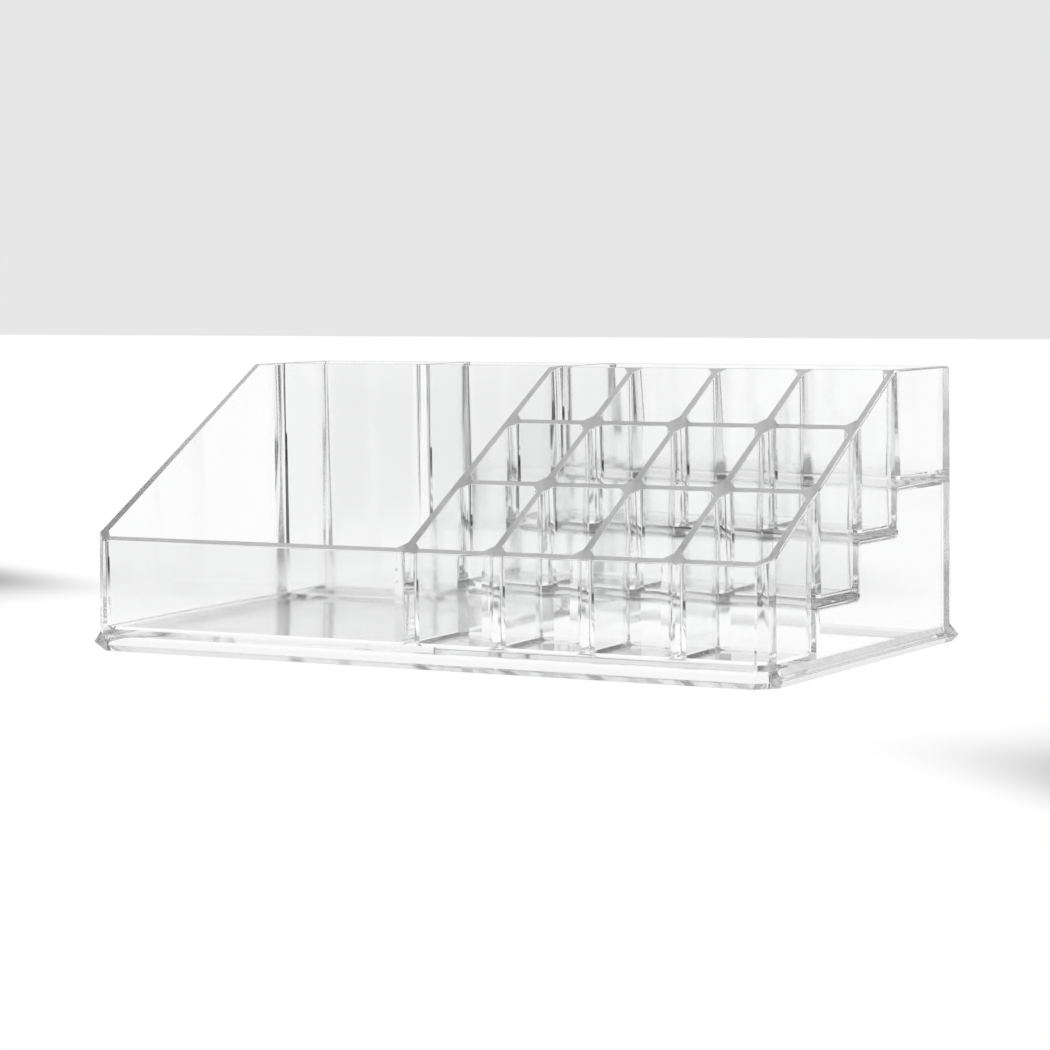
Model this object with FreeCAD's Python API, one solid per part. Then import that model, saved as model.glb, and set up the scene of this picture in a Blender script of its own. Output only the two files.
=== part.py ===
import FreeCAD, Part
import math
import os

# A clear stepped desktop organizer. It is one moulding with sixteen open compartments, and is
# handed over as its separate walls, floors, dividers and foot rim, which meet face to face.
# Lengths are in millimetres. The origin is at the middle of the footprint, on the surface that the
# organizer stands on, with +X to the right, +Y to the back and +Z up.

# Compartments, each length measured clear between the walls at their rims
tray_width = 101.3
rear_left_width = 50.2
cell_width = 24.93
row_1_depth = 28.1
row_2_depth = 26.1
row_3_depth = 25.3
shelf_depth = 36.7
rear_cell_depth = 27.0
cell_columns = 4

# Walls and floors
wall = 2.0
floor = 2.0
draft_degrees = 0.6
outer_draft_degrees = 0.4
corner_cut = 2.3
floor_bevel = 1.0
root_height = 0.5
rim_radius = 0.6

# Heights above the surface that the organizer stands on
height = 80.0
front_height = 31.8
base_floor_top = 6.0
row_2_rise = 14.7
row_3_rise = 15.4
shelf_rise = 13.2

# Outer corners of the walls
front_chamfer = 3.7
rear_chamfer = 0.6

# Rounded corners under the base, and the bevel along both sides of the hollow under the steps
corner_radius = 3.3
step_radius = 1.6
hollow_bevel = 1.4

# Foot rim, with its reach measured out from the face of the walls
foot_rim_height = 5.0
foot_tip_height = 1.85
foot_tip_reach = 1.9
foot_reach = 0.35
foot_front_chamfer = 5.2
foot_rear_chamfer = 0.9

# How far a cutting or splitting shape runs past what it cuts
overrun = 6.0

# Draft makes each wall thicker towards its foot, inside by growth on a face at most
draft = math.tan(math.radians(draft_degrees))
outer_draft = math.tan(math.radians(outer_draft_degrees))
growth = height * draft
front_lean = front_height * outer_draft
back_lean = height * outer_draft

# Size over the walls at their rims, and their outer faces there
body_width = tray_width + cell_columns * cell_width + (cell_columns + 2) * wall
body_depth = row_1_depth + row_2_depth + row_3_depth + shelf_depth + 5 * wall
right = body_width / 2
left = -right
front = (front_lean - back_lean - body_depth) / 2
back = front + body_depth

# Faces of the walls that run from front to back, at their rims
left_inner = left + wall
partition_left = left_inner + tray_width
partition_right = partition_left + wall
right_inner = right - wall
column_pitch = cell_width + wall
column_starts = [partition_right + i * column_pitch for i in range(cell_columns)]
rear_divider_left = left_inner + rear_left_width
rear_divider_right = rear_divider_left + wall

# Faces of the walls that run from left to right, at their rims
front_inner = front + wall
row_starts = [
    front_inner,
    front_inner + row_1_depth + wall,
    front_inner + row_1_depth + row_2_depth + 2 * wall,
]
row_ends = [
    start + depth for start, depth in zip(row_starts, (row_1_depth, row_2_depth, row_3_depth))
]
shelf_start = row_ends[2] + wall
back_inner = back - wall
rear_cell_start = back_inner - rear_cell_depth
tray_end = rear_cell_start - wall

# Tops of the floors, row by row and then the shelf behind them
row_floors = [
    base_floor_top,
    base_floor_top + row_2_rise,
    base_floor_top + row_2_rise + row_3_rise,
]
shelf_floor = row_floors[2] + shelf_rise
base_underside = base_floor_top - floor

# The rims rise in one slanted plane up to the last row's rear wall, and are level behind it
crease = row_ends[2]
rim_slope = (height - front_height) / (crease - front)

# Pieces are parted this far in front of a wall's face at the rim, clear of its draft and of its
# corners, so that each wall keeps the roots of what meets it
parting = growth + corner_radius
left_part = left_inner + parting
right_part = right_inner - parting
front_part = front_inner + parting
back_part = back_inner - parting


def rim_at(y):
    """Height of the rims at a place along the depth."""
    return min(height, front_height + rim_slope * (y - front))


def block(x0, x1, y0, y1, z0, z1):
    """Box between two corners."""
    return Part.makeBox(x1 - x0, y1 - y0, z1 - z0, FreeCAD.Vector(x0, y0, z0))


def stacked(outlines):
    """Solid with flat sides through outlines that lie above each other, lowest first.

    The outlines run anticlockwise seen from above, so that every face looks outwards.
    """
    rings = [outlines[0][::-1], outlines[-1]]
    for lower, upper in zip(outlines, outlines[1:]):
        for i in range(len(lower)):
            j = (i + 1) % len(lower)
            rings.append([lower[i], lower[j], upper[j], upper[i]])
    faces = [Part.Face(Part.makePolygon(ring + ring[:1])) for ring in rings]
    return Part.Solid(Part.Shell(faces))


def footprint(reach, front_cut, rear_cut, z):
    """Points of the walls' drafted outline at a height, moved out by the reach.

    The front and rear corners are cut off by so much of each side.
    """
    x = right + (height - z) * outer_draft + reach
    y0 = front - (front_height - z) * outer_draft - reach
    y1 = back + (height - z) * outer_draft + reach
    corners = (
        (x - front_cut, y0), (x, y0 + front_cut), (x, y1 - rear_cut), (x - rear_cut, y1),
        (rear_cut - x, y1), (-x, y1 - rear_cut), (-x, y0 + front_cut), (front_cut - x, y0),
    )
    return [FreeCAD.Vector(px, py, z) for px, py in corners]


def rectangle(x0, x1, y0, y1, z):
    """Corner points of a level rectangle."""
    return [FreeCAD.Vector(x, y, z) for x, y in ((x0, y0), (x1, y0), (x1, y1), (x0, y1))]


def side_profile(points, x0, x1):
    """Solid with one outline in the YZ plane, from x0 to x1."""
    corners = [FreeCAD.Vector(x0, y, z) for y, z in points]
    face = Part.Face(Part.makePolygon(corners + corners[:1]))
    return face.extrude(FreeCAD.Vector(x1 - x0, 0, 0))


def outer_body():
    """The solid outside: drafted walls, the bevelled foot rim and the rounded, slanted top."""
    outside = stacked([
        footprint(foot_reach, foot_front_chamfer, foot_rear_chamfer, 0),
        footprint(foot_tip_reach, foot_front_chamfer, foot_rear_chamfer, foot_tip_height),
        footprint(0, front_chamfer, rear_chamfer, foot_rim_height),
        footprint(0, front_chamfer, rear_chamfer, height + overrun),
    ])
    fore = front - overrun
    aft = back + overrun
    below_rims = side_profile(
        [
            (fore, -overrun),
            (aft, -overrun),
            (aft, height),
            (crease, height),
            (fore, front_height - rim_slope * overrun),
        ],
        left - overrun,
        right + overrun,
    )
    body = outside.common(below_rims).Solids[0]
    tops = [face for face in body.Faces if face.BoundBox.ZMin > foot_rim_height + rim_radius]
    edges = [edge for face in tops for edge in face.Edges]
    outline = [edge for edge in edges if sum(edge.isSame(other) for other in edges) == 1]
    return body.makeFillet(rim_radius, outline)


def is_upright(edge):
    """True for an edge that climbs, as against one that lies level."""
    ends = [vertex.Point.z for vertex in edge.Vertexes]
    return max(ends) - min(ends) > floor


def pocket(x0, x1, y0, y1, floor_top):
    """The space of one compartment, drafted, with its corners cut off and a bevelled foot.

    Its front face passes through the rim at y0, and its other faces through the rim at y1.
    """

    def outline_at(z):
        front_inset = (rim_at(y0) - z) * draft
        inset = (rim_at(y1) - z) * draft
        return rectangle(x0 + inset, x1 - inset, y0 + front_inset, y1 - inset, z)

    space = stacked([outline_at(floor_top), outline_at(rim_at(y1) + overrun)])
    space = space.makeChamfer(corner_cut, [edge for edge in space.Edges if is_upright(edge)])
    foot = min(space.Faces, key=lambda face: face.CenterOfMass.z)
    return space.makeChamfer(floor_bevel, foot.Edges)


def compartments():
    """The spaces of all sixteen compartments."""
    spaces = [
        pocket(left_inner, partition_left, front_inner, tray_end, base_floor_top),
        pocket(left_inner, rear_divider_left, rear_cell_start, back_inner, base_floor_top),
        pocket(rear_divider_right, partition_left, rear_cell_start, back_inner, base_floor_top),
        pocket(partition_right, right_inner, shelf_start, back_inner, shelf_floor),
    ]
    for y0, y1, floor_top in zip(row_starts, row_ends, row_floors):
        for x in column_starts:
            spaces.append(pocket(x, x + cell_width, y0, y1, floor_top))
    return spaces


def base_recess():
    """The shallow recess under the base, which leaves the foot rim standing."""
    recess = block(left_inner, right_inner, front_inner, back_inner, -overrun, base_underside)
    return recess.makeFillet(corner_radius, [edge for edge in recess.Edges if is_upright(edge)])


def step_hollow():
    """The hollow under the steps, open below, which follows the floors and risers."""
    risers = [end + wall for end in row_ends]
    undersides = [row_floors[1] - floor, row_floors[2] - floor, shelf_floor - floor]
    stairs = [(risers[0], -overrun)]
    for riser, underside, next_y in zip(risers, undersides, risers[1:] + [back_inner]):
        stairs += [(riser, underside), (next_y, underside)]
    stairs.append((back_inner, -overrun))
    hollow = side_profile(stairs, partition_right, right_inner)
    rear_corners = [
        edge for edge in hollow.Edges
        if is_upright(edge) and edge.CenterOfMass.y > shelf_start
    ]
    hollow = hollow.makeFillet(corner_radius, rear_corners)
    step_edges = [
        edge for edge in hollow.Edges
        if edge.BoundBox.XLength > cell_width
        and edge.CenterOfMass.z > 0
        and edge.CenterOfMass.y < shelf_start + wall
    ]
    hollow = hollow.makeFillet(step_radius, step_edges)
    sides = [face for face in hollow.Faces if face.BoundBox.XLength < wall]
    side_edges = [
        edge for face in sides for edge in face.Edges
        if edge.CenterOfMass.z > -overrun and edge.CenterOfMass.y < back_inner - corner_radius
    ]
    return hollow.makeChamfer(hollow_bevel, side_edges)


def moulding():
    """The whole organizer in one piece."""
    body = outer_body().cut(Part.makeCompound([base_recess(), step_hollow()]))
    return body.cut(compartments())


def rim_regions():
    """Where the four sides of the foot rim are parted from the walls above them."""
    x0 = left - overrun
    x1 = right + overrun
    y0 = front - overrun
    y1 = back + overrun
    top = foot_rim_height
    return {
        "base_rim_front": block(x0, x1, y0, front_part, -overrun, top),
        "base_rim_back": block(x0, x1, back_part, y1, -overrun, top),
        "base_rim_left": block(x0, left_part, front_part, back_part, -overrun, top),
        "base_rim_right": block(right_part, x1, front_part, back_part, -overrun, top),
    }


def floor_region(x0, x1, y0, y1, floor_top):
    """One floor with the roots of its dividers, which end above the bevel at their feet."""
    return block(x0, x1, y0, y1, -overrun, floor_top + floor_bevel + root_height)


def floor_regions():
    """The seven floors, each between the walls that stand round it."""
    tray_right = partition_left - parting
    rear_start = rear_cell_start + parting
    regions = {
        "tray_floor": floor_region(
            left_part, tray_right, front_part, tray_end - parting, base_floor_top),
        "rear_left_floor": floor_region(
            left_part, rear_divider_left - parting, rear_start, back_part, base_floor_top),
        "rear_middle_floor": floor_region(
            rear_divider_right + parting, tray_right, rear_start, back_part, base_floor_top),
        "rear_shelf_floor": floor_region(
            partition_right + parting, right_part, shelf_start + parting, back_part, shelf_floor),
    }
    for row, (y0, y1, top) in enumerate(zip(row_starts, row_ends, row_floors), start=1):
        regions[f"row_{row}_floor"] = floor_region(
            partition_right + parting, right_part, y0 + parting, y1 - parting, top)
    return regions


def cross_wall_regions():
    """The walls that run from left to right, the front and back walls first."""
    x0 = left - overrun
    x1 = right + overrun
    top = height + overrun
    regions = {
        "front_wall": block(x0, x1, front - overrun, front_part, -overrun, top),
        "back_wall": block(x0, x1, back_part, back + overrun, -overrun, top),
        "tray_rear_wall": block(
            left_part, partition_left - parting,
            tray_end - parting, rear_cell_start + parting, -overrun, top),
    }
    names = ("row_wall_1_2", "row_wall_2_3", "row_wall_3_rear")
    for name, row_end in zip(names, row_ends):
        regions[name] = block(
            partition_right + parting, right_part,
            row_end - parting, row_end + wall + parting, -overrun, top)
    return regions


def long_wall_regions():
    """The walls that run from front to back, which keep the corners where walls meet them."""
    top = height + overrun
    spans = {
        "left_side_wall": (left - overrun, left_part),
        "right_side_wall": (right_part, right + overrun),
        "main_partition": (partition_left - parting, partition_right + parting),
    }
    regions = {
        name: block(x0, x1, front_part, back_part, -overrun, top)
        for name, (x0, x1) in spans.items()
    }
    regions["rear_divider"] = block(
        rear_divider_left - parting, rear_divider_right + parting,
        rear_cell_start, back_part, -overrun, top)
    for row, (y0, y1) in enumerate(zip(row_starts, row_ends), start=1):
        for letter, x in zip("abcdefgh", column_starts[1:]):
            regions[f"row_{row}_divider_{letter}"] = block(
                x - wall - parting, x + parting, y0, y1, -overrun, top)
    return regions


def share_out(body, regions):
    """Part the body into named pieces, each region taking its piece from what is left."""
    pieces = {}
    rest = body.Solids
    for name, region in regions.items():
        near = [solid for solid in rest if solid.BoundBox.intersect(region.BoundBox)]
        rest = [solid for solid in rest if not solid.BoundBox.intersect(region.BoundBox)]
        held = []
        for solid in near:
            held += solid.common(region).Solids
            rest += solid.cut(region).Solids
        pieces[name] = Part.makeCompound(held).removeSplitter()
    return pieces


def build():
    """All the pieces by name."""
    regions = {
        **rim_regions(),
        **floor_regions(),
        **cross_wall_regions(),
        **long_wall_regions(),
    }
    return share_out(moulding(), regions)


os.makedirs("parts", exist_ok=True)
for node, shape in build().items():
    shape.exportStep(f"parts/{node}.step")
    print(node, len(shape.Solids), round(shape.Volume, 1), shape.isValid())
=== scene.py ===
import math

import bpy
import bmesh
from mathutils import Matrix, Vector
from mathutils.bvhtree import BVHTree
from mathutils.kdtree import KDTree


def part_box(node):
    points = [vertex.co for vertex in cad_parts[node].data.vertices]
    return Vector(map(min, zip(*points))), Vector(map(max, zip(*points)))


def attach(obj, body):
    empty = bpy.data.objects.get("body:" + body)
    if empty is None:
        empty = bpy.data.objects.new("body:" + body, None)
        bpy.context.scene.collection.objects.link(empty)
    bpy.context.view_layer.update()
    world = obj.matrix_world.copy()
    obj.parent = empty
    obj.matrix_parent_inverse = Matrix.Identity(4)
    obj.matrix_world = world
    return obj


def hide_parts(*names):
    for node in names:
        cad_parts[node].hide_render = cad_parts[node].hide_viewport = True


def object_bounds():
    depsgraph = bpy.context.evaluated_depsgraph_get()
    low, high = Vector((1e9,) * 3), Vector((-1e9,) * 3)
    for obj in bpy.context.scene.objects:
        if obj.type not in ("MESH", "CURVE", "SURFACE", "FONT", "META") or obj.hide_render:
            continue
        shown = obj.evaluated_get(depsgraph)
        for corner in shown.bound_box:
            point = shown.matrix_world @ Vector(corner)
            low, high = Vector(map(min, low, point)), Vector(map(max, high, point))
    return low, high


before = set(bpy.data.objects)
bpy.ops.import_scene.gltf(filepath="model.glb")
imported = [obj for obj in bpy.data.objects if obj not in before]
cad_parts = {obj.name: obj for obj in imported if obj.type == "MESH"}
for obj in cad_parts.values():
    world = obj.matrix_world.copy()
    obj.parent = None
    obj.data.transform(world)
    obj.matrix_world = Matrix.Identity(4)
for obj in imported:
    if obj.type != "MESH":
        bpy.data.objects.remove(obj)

# The clear stepped organizer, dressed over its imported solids. Lengths are in metres. Azimuths and
# heights in the studio are in degrees, with azimuth 0 along +Y and turning towards +X.
cad_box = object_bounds()

# Camera, fitted to the photograph's view, with its lens and sensor in millimetres
CAMERA_PLACE = Vector((0.4559, -0.8311, 0.1078))
CAMERA_YAW = math.radians(28.716)
CAMERA_PITCH = math.radians(4.394)
CAMERA_ROLL = math.radians(-0.358)
CAMERA_LENS = 112.8
CAMERA_SENSOR = 36.0

# Faces of two pieces count as joined where they lie this close, back to back
JOIN_GAP = 2e-6
JOIN_REACH = 2e-5
BACK_TO_BACK = -0.99
WELD_GAP = 1e-6

# A face is on a rim where all its corners lie this close to the rims' height
RIM_GAP = 3e-5

# Edges up to the smooth angle shade as rounding, and so do those of a bevel, which is narrow
FLAT_ANGLE = math.radians(0.5)
SMOOTH_ANGLE = math.radians(25)
BEVEL_ANGLE = math.radians(50)
BEVEL_WIDTH = 0.0005

# Sharp outer edges are broken by a rounding too small to be one of the part's sizes
EDGE_ANGLE = math.radians(28)
EDGE_ROUNDING = 0.00015
EDGE_STEPS = 2
ROUND_PROFILE = 0.5
SHORT_EDGE = 1e-5

# Material slots of a piece, in the order of its materials
OUTSIDE = 0
JOINED = 1
RIM = 2

# Clear polystyrene, with waves that froze in as it flowed, and with haze up to a greatest roughness
PLASTIC_IOR = 1.55
PLASTIC_CLEAR = 1.0
PLASTIC_TINT = (0.988, 0.990, 0.990, 1)
WAVE_SCALE = 38
WAVE_DETAIL = 1.5
WAVE_STRENGTH = 0.03
WAVE_DEPTH = 0.001
HAZE_SCALE = 120
HAZE_DETAIL = 3
HAZE_ROUGHNESS = 0.1

# The same plastic on the matt rims, with a fine grain
# Painted shade: less clear and a little darker than the plastic, so that the rims read grey
RIM_CLEAR = 0.65
RIM_SHADE_TINT = (0.95, 0.95, 0.95, 1)
RIM_ROUGHNESS = 0.55
GRAIN_SCALE = 900
GRAIN_DETAIL = 2
GRAIN_STRENGTH = 0.1
GRAIN_DEPTH = 0.0002

# The floor glows white near the object as painted light, and its glow falls to its side strength
# further out in two directions, which is painted shade
FLOOR_HALF = 4.0
FLOOR_DROP = 0.0002
FLOOR_SIDE = 0.12
NEAR_FLOOR = 0.2
FAR_FLOOR = 0.34
SIDE_AZIMUTHS = (85, 250)
SIDE_HALF = 38
SIDE_FADE = 10

# The studio is grey, with a bright sweep that rises behind the object and runs on over it. The
# sweep's two sides and its fade are sines of the angle away from its middle.
SWEEP_AZIMUTH = -28.76
SWEEP_LEFT = 0.25
SWEEP_RIGHT = 0.5
SWEEP_FADE = 0.2
STUDIO_GREY = 0.15

# Opposite the sweep's middle and this high, behind the camera, the light falls to a dark share. It
# falls between two cosines of the angle to that way.
DARK_HEIGHT = 20
DARK_START = 0.2
DARK_END = 0.6
DARK_SHARE = 0.05

# Two low lamps, each with its edge and its full core as cosines of the angle from its middle
LAMP_AZIMUTHS = (26, 208)
LAMP_HEIGHT = 6
LAMP_EDGE = 0.93
LAMP_CORE = 0.975

# Turns in degrees
QUARTER_TURN = 90
HALF_TURN = 180

# How often light may bounce, and how often it may pass where two pieces join
LIGHT_BOUNCES = 256
JOINED_PASSES = 512


def new_material(name):
    """An empty node material, with its output node."""
    material = bpy.data.materials.new(name)
    material.use_nodes = True
    tree = material.node_tree
    tree.nodes.clear()
    return material, tree, tree.nodes.new("ShaderNodeOutputMaterial")


def coordinates(tree, kind):
    """Places on a piece, or directions in a world."""
    return tree.nodes.new("ShaderNodeTexCoord").outputs[kind]


def noise(tree, scale, detail):
    """Noise that runs through a piece."""
    node = tree.nodes.new("ShaderNodeTexNoise")
    node.inputs["Scale"].default_value = scale
    node.inputs["Detail"].default_value = detail
    tree.links.new(coordinates(tree, "Object"), node.inputs["Vector"])
    return node.outputs["Fac"]


def bumps(tree, height, strength, depth):
    """The normals of a surface with bumps."""
    node = tree.nodes.new("ShaderNodeBump")
    node.inputs["Strength"].default_value = strength
    node.inputs["Distance"].default_value = depth
    tree.links.new(height, node.inputs["Height"])
    return node.outputs["Normal"]


def plastic_shader(tree, output, tint, clear):
    """The surface of the plastic, in one tint, and as clear as a share says."""
    shader = tree.nodes.new("ShaderNodeBsdfPrincipled")
    shader.inputs["Base Color"].default_value = tint
    shader.inputs["Transmission Weight"].default_value = clear
    shader.inputs["IOR"].default_value = PLASTIC_IOR
    tree.links.new(shader.outputs["BSDF"], output.inputs["Surface"])
    return shader


def clear_plastic():
    """Polished clear plastic, with the faint flow waves and haze of a moulding."""
    material, tree, output = new_material("clear_plastic")
    shader = plastic_shader(tree, output, PLASTIC_TINT, PLASTIC_CLEAR)
    rough = tree.nodes.new("ShaderNodeMapRange")
    rough.inputs["To Max"].default_value = HAZE_ROUGHNESS
    tree.links.new(noise(tree, HAZE_SCALE, HAZE_DETAIL), rough.inputs["Value"])
    tree.links.new(rough.outputs["Result"], shader.inputs["Roughness"])
    waves = bumps(tree, noise(tree, WAVE_SCALE, WAVE_DETAIL), WAVE_STRENGTH, WAVE_DEPTH)
    tree.links.new(waves, shader.inputs["Normal"])
    return material


def matt_rims_painted_shade():
    """Matt rims, which spread the light that comes up the walls, painted darker and less clear as
    shade.
    """
    material, tree, output = new_material("matt_rims_painted_shade")
    # Painted shade: the rims' tint and clearness are set lower than the plastic's to make them grey
    shader = plastic_shader(tree, output, RIM_SHADE_TINT, RIM_CLEAR)
    shader.inputs["Roughness"].default_value = RIM_ROUGHNESS
    grain = bumps(tree, noise(tree, GRAIN_SCALE, GRAIN_DETAIL), GRAIN_STRENGTH, GRAIN_DEPTH)
    tree.links.new(grain, shader.inputs["Normal"])
    return material


def joined_plastic():
    """Where two pieces run into each other inside the plastic, there is nothing to see."""
    material, tree, output = new_material("joined_plastic")
    shader = tree.nodes.new("ShaderNodeBsdfTransparent")
    tree.links.new(shader.outputs["BSDF"], output.inputs["Surface"])
    return material


def welded(mesh):
    """The mesh of a node as a bmesh with its points joined up."""
    bm = bmesh.new()
    bm.from_mesh(mesh)
    bmesh.ops.remove_doubles(bm, verts=bm.verts, dist=WELD_GAP)
    bm.normal_update()
    return bm


def is_joined(face, others):
    """True where a face lies back to back with a face of another piece."""
    centre = face.calc_center_median()
    for tree in others:
        place, normal, _, gap = tree.find_nearest(centre, JOIN_REACH)
        if place is not None and gap < JOIN_GAP and normal.dot(face.normal) < BACK_TO_BACK:
            return True
    return False


def rim_plane():
    """Where the slanted plane of the rims leaves the front wall, and how steeply it climbs."""
    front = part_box("front_wall")[1]
    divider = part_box("row_1_divider_a")[1]
    return front.y, front.z, (divider.z - front.z) / (divider.y - front.y)


def is_rim(face, plane):
    """True for a face on top of a wall: on the slanted plane, or level with the top behind it."""
    y, z, slope = plane
    return all(
        abs(vert.co.z - min(cad_box[1].z, z + slope * (vert.co.y - y))) < RIM_GAP
        for vert in face.verts
    )


def mark_faces(meshes):
    """Give faces that are joined to another piece, and those of the rims, their material slots."""
    trees = {name: BVHTree.FromBMesh(bm) for name, bm in meshes.items()}
    plane = rim_plane()
    for name, bm in meshes.items():
        others = [tree for other, tree in trees.items() if other != name]
        for face in bm.faces:
            if is_joined(face, others):
                face.material_index = JOINED
            elif is_rim(face, plane):
                face.material_index = RIM


def break_edges(bm):
    """Round off the sharp outer edges of a piece, but not where it runs into the next one."""
    bmesh.ops.dissolve_degenerate(bm, dist=SHORT_EDGE, edges=bm.edges)
    bmesh.ops.dissolve_limit(
        bm, angle_limit=FLAT_ANGLE, verts=bm.verts, edges=bm.edges, delimit={"MATERIAL"})
    sharp = [
        edge for edge in bm.edges
        if edge.is_convex
        and edge.calc_face_angle(0) > EDGE_ANGLE
        and JOINED not in [face.material_index for face in edge.link_faces]
    ]
    bmesh.ops.bevel(
        bm, geom=sharp, offset=EDGE_ROUNDING, offset_type="OFFSET", segments=EDGE_STEPS,
        profile=ROUND_PROFILE, affect="EDGES", clamp_overlap=False, material=OUTSIDE)
    bmesh.ops.triangulate(bm, faces=bm.faces)
    bm.normal_update()
    for face in bm.faces:
        face.smooth = True


def shared_points(meshes):
    """A number for each point of the meshes, the same for points that lie in one place."""
    verts = [vert for bm in meshes.values() for vert in bm.verts]
    tree = KDTree(len(verts))
    for i, vert in enumerate(verts):
        tree.insert(vert.co, i)
    tree.balance()
    numbers = {}
    for i, vert in enumerate(verts):
        if vert not in numbers:
            for _, near, _ in tree.find_range(vert.co, JOIN_GAP):
                numbers.setdefault(verts[near], i)
    return numbers


def side_of(edge, numbers):
    """The numbers of an edge's two points."""
    return frozenset(numbers[vert] for vert in edge.verts)


class Region:
    """Faces that lie in one plane and share edges."""

    def __init__(self, normal):
        self.normal = normal
        self.area = 0.0
        self.outline = 0.0

    def width(self):
        """Width, if the region is a strip. A region without an outline counts as wide."""
        return 2 * self.area / max(self.outline, WELD_GAP)


def flat_regions(faces, sides, numbers):
    """The flat region that each face belongs to."""
    regions = {}
    for start in faces:
        if start in regions:
            continue
        region = Region(start.normal)
        regions[start] = region
        stack = [start]
        while stack:
            face = stack.pop()
            region.area += face.calc_area()
            for edge in face.edges:
                for other in sides[side_of(edge, numbers)]:
                    if other.normal.angle(start.normal, math.pi) > FLAT_ANGLE:
                        region.outline += edge.calc_length()
                    elif other not in regions:
                        regions[other] = region
                        stack.append(other)
    return regions


def is_smooth(face, other, regions):
    """True where the edge between two faces shades as rounding."""
    angle = face.normal.angle(other.normal, math.pi)
    narrow = min(regions[face].width(), regions[other].width()) < BEVEL_WIDTH
    rim = RIM in (face.material_index, other.material_index)
    return angle < SMOOTH_ANGLE or (angle < BEVEL_ANGLE and narrow and not rim)


def take_fan(left, point, sides, regions, numbers):
    """Take from the faces left round a point one and all that shade as rounding with it."""
    fan = [left.pop()]
    for face in fan:
        for edge in face.edges:
            side = side_of(edge, numbers)
            if point not in side:
                continue
            for other in sides[side]:
                if other in left and is_smooth(face, other, regions):
                    left.remove(other)
                    fan.append(other)
    return fan


def fan_normal(fan, regions):
    """The shading normal of a fan, which its largest region settles almost alone."""
    normal = Vector()
    for region in dict.fromkeys(regions[face] for face in fan):
        normal += region.normal * region.area ** 2
    return normal.normalized()


def corner_normals(meshes):
    """Shading normals of each mesh, in the order of its faces' corners.

    Flat faces stay flat up to their edges, and the narrow ones between them shade as rounding, also
    from one piece to the next.
    """
    numbers = shared_points(meshes)
    faces = [face for bm in meshes.values() for face in bm.faces if face.material_index != JOINED]
    sides = {}
    around = {}
    for face in faces:
        for edge in face.edges:
            sides.setdefault(side_of(edge, numbers), []).append(face)
        for vert in face.verts:
            around.setdefault(numbers[vert], []).append(face)
    regions = flat_regions(faces, sides, numbers)
    normals = {}
    for point, left in around.items():
        while left:
            fan = take_fan(left, point, sides, regions, numbers)
            normal = fan_normal(fan, regions)
            for face in fan:
                normals[face, point] = normal
    return {
        name: [
            normals.get((face, numbers[vert]), face.normal) for face in bm.faces for vert in face.verts
        ]
        for name, bm in meshes.items()
    }


def make_piece(name, bm, normals, materials):
    """The clear piece that stands for a node."""
    mesh = bpy.data.meshes.new(name + "_clear")
    bm.to_mesh(mesh)
    bm.free()
    for material in materials:
        mesh.materials.append(material)
    mesh.normals_split_custom_set(normals)
    piece = bpy.data.objects.new(name + "_clear", mesh)
    bpy.context.scene.collection.objects.link(piece)
    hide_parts(name)
    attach(piece, "root")


def dress(nodes):
    """A clear piece for every node, with nothing to see where it runs into the next one."""
    meshes = {name: welded(node.data) for name, node in nodes.items()}
    mark_faces(meshes)
    for bm in meshes.values():
        break_edges(bm)
    normals = corner_normals(meshes)
    materials = (clear_plastic(), joined_plastic(), matt_rims_painted_shade())
    for name, bm in meshes.items():
        make_piece(name, bm, normals[name], materials)


def make_camera():
    """The camera at the photograph's place and angle."""
    data = bpy.data.cameras.new("camera")
    data.lens = CAMERA_LENS
    data.sensor_width = CAMERA_SENSOR
    camera = bpy.data.objects.new("camera", data)
    bpy.context.scene.collection.objects.link(camera)
    ahead = Vector((
        -math.sin(CAMERA_YAW) * math.cos(CAMERA_PITCH),
        math.cos(CAMERA_YAW) * math.cos(CAMERA_PITCH),
        -math.sin(CAMERA_PITCH),
    ))
    across = Vector((math.cos(CAMERA_YAW), math.sin(CAMERA_YAW), 0))
    up = across.cross(ahead)
    x_axis = math.cos(CAMERA_ROLL) * across + math.sin(CAMERA_ROLL) * up
    y_axis = math.cos(CAMERA_ROLL) * up - math.sin(CAMERA_ROLL) * across
    turn = Matrix((x_axis, y_axis, -ahead)).transposed().to_4x4()
    camera.matrix_world = Matrix.Translation(CAMERA_PLACE) @ turn
    bpy.context.scene.camera = camera


def map_range(tree, value, start, end, low, high):
    """A value carried smoothly from one range to another."""
    node = tree.nodes.new("ShaderNodeMapRange")
    node.interpolation_type = "SMOOTHSTEP"
    node.inputs["From Min"].default_value = start
    node.inputs["From Max"].default_value = end
    node.inputs["To Min"].default_value = low
    node.inputs["To Max"].default_value = high
    tree.links.new(value, node.inputs["Value"])
    return node.outputs["Result"]


def vector_node(tree, operation, vector):
    """A vector put through one operation."""
    node = tree.nodes.new("ShaderNodeVectorMath")
    node.operation = operation
    tree.links.new(vector, node.inputs[0])
    return node


def toward(tree, vector, direction):
    """How far a vector runs in a direction."""
    node = vector_node(tree, "DOT_PRODUCT", vector)
    node.inputs[1].default_value = direction
    return node.outputs["Value"]


def math_node(tree, operation, first, second):
    """Two values, or a value and a number, put together."""
    node = tree.nodes.new("ShaderNodeMath")
    node.operation = operation
    for socket, value in zip(node.inputs, (first, second)):
        if isinstance(value, (int, float)):
            socket.default_value = value
        else:
            tree.links.new(value, socket)
    return node.outputs["Value"]


def heading(azimuth, elevation):
    """Unit vector that way."""
    level = math.cos(math.radians(elevation))
    return Vector((
        level * math.sin(math.radians(azimuth)),
        level * math.cos(math.radians(azimuth)),
        math.sin(math.radians(elevation)),
    ))


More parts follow.
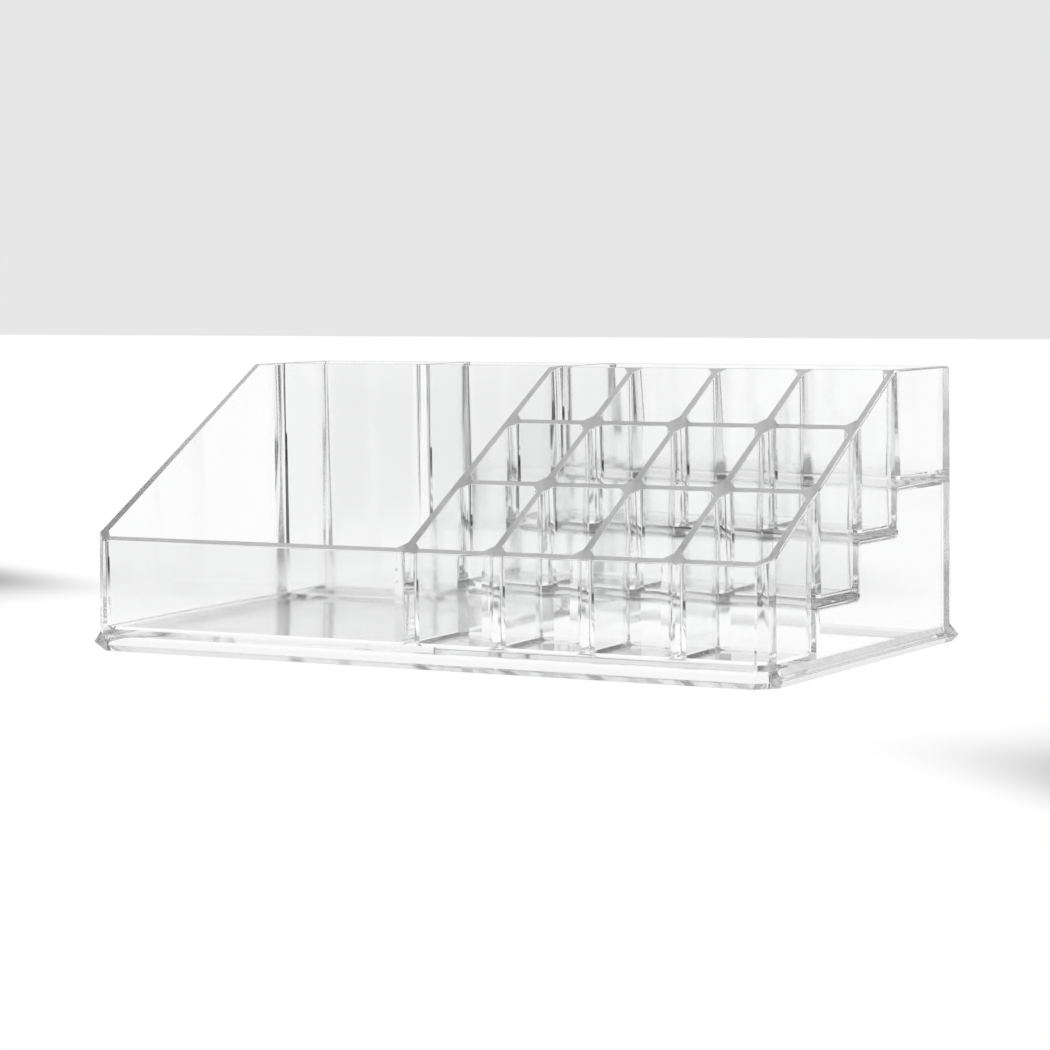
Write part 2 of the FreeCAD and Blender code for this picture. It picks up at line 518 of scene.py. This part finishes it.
def floor_light(tree):
    """The floor's painted glow, white round the object, with painted shade further out to two sides.
    """
    place = coordinates(tree, "Object")
    reach = vector_node(tree, "LENGTH", place).outputs["Value"]
    far = map_range(tree, reach, NEAR_FLOOR, FAR_FLOOR, 0, 1 - FLOOR_SIDE)
    way = vector_node(tree, "NORMALIZE", place).outputs["Vector"]
    edge = math.cos(math.radians(SIDE_HALF + SIDE_FADE))
    core = math.cos(math.radians(SIDE_HALF))
    shades = [
        map_range(tree, toward(tree, way, heading(azimuth, 0)), edge, core, 0, 1)
        for azimuth in SIDE_AZIMUTHS
    ]
    shade = math_node(tree, "MULTIPLY", math_node(tree, "ADD", *shades), far)
    return math_node(tree, "SUBTRACT", 1, shade)


def make_floor():
    """A pale floor that gives its own painted light, just under the foot."""
    material, tree, output = new_material("painted_light_floor")
    shader = tree.nodes.new("ShaderNodeEmission")
    tree.links.new(floor_light(tree), shader.inputs["Strength"])
    tree.links.new(shader.outputs["Emission"], output.inputs["Surface"])
    mesh = bpy.data.meshes.new("floor")
    corners = [
        (-FLOOR_HALF, -FLOOR_HALF, 0),
        (FLOOR_HALF, -FLOOR_HALF, 0),
        (FLOOR_HALF, FLOOR_HALF, 0),
        (-FLOOR_HALF, FLOOR_HALF, 0),
    ]
    mesh.from_pydata(corners, [], [(0, 1, 2, 3)])
    mesh.materials.append(material)
    floor = bpy.data.objects.new("floor", mesh)
    bpy.context.scene.collection.objects.link(floor)
    floor.location.z = cad_box[0].z - FLOOR_DROP


def sweep_light(tree, way):
    """Brightness of the grey studio with its bright sweep, dark behind the camera."""
    across = toward(tree, way, heading(SWEEP_AZIMUTH + QUARTER_TURN, 0))
    left = map_range(tree, across, -SWEEP_LEFT - SWEEP_FADE, -SWEEP_LEFT, STUDIO_GREY, 1)
    right = map_range(tree, across, SWEEP_RIGHT, SWEEP_RIGHT + SWEEP_FADE, 1, STUDIO_GREY)
    behind = toward(tree, way, heading(SWEEP_AZIMUTH + HALF_TURN, DARK_HEIGHT))
    share = map_range(tree, behind, DARK_START, DARK_END, 1, DARK_SHARE)
    return math_node(tree, "MULTIPLY", math_node(tree, "MINIMUM", left, right), share)


def make_world():
    """The studio round the object: its grey room, its sweep and two low lamps."""
    world = bpy.data.worlds.new("studio")
    bpy.context.scene.world = world
    world.use_nodes = True
    tree = world.node_tree
    tree.nodes.clear()
    output = tree.nodes.new("ShaderNodeOutputWorld")
    background = tree.nodes.new("ShaderNodeBackground")
    way = coordinates(tree, "Generated")
    strength = sweep_light(tree, way)
    for azimuth in LAMP_AZIMUTHS:
        lamp = toward(tree, way, heading(azimuth, LAMP_HEIGHT))
        light = map_range(tree, lamp, LAMP_EDGE, LAMP_CORE, 0, 1)
        strength = math_node(tree, "MAXIMUM", strength, light)
    tree.links.new(strength, background.inputs["Strength"])
    tree.links.new(background.outputs["Background"], output.inputs["Surface"])


def light_paths():
    """Enough bounces for light to get through every wall, and a view that keeps white as white."""
    scene = bpy.context.scene
    scene.view_settings.view_transform = "Standard"
    scene.cycles.max_bounces = LIGHT_BOUNCES
    scene.cycles.transmission_bounces = LIGHT_BOUNCES
    scene.cycles.glossy_bounces = LIGHT_BOUNCES
    scene.cycles.transparent_max_bounces = JOINED_PASSES


dress(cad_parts)
make_camera()
make_floor()
make_world()
light_paths()
